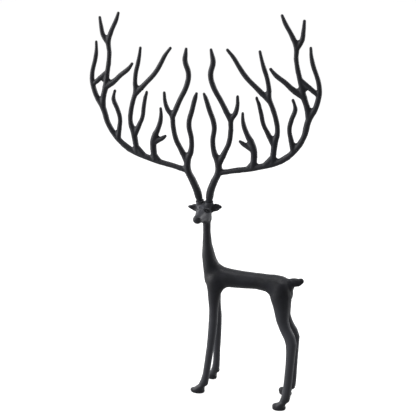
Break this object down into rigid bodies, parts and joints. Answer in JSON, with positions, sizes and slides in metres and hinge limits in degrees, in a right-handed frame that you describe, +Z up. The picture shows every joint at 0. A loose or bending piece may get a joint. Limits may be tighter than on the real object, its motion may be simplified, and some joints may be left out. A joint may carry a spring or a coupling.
{
  "type": "stag statue",
  "caption": "Slender cast iron stag standing on straight legs, its head turned to its left under a wide, flat spread of branching antlers; a freestanding ornament.",
  "frame": {"origin": "on the ground under the middle of the statue's overall box", "axes": "+Z up; the body lies along X with the rump at +X; the turned face looks along -Y, the side seen in the picture"},
  "size_m": [0.3692, 0.0771, 0.6176],
  "materials": {
    "blackened_iron": "satin charcoal black over fine cast grain, a little lighter on worn edges"
  },
  "bodies": {
    "root": {"stag_body": "blackened_iron", "antler_left": "blackened_iron", "antler_right": "blackened_iron"}
  },
  "joints": []
}
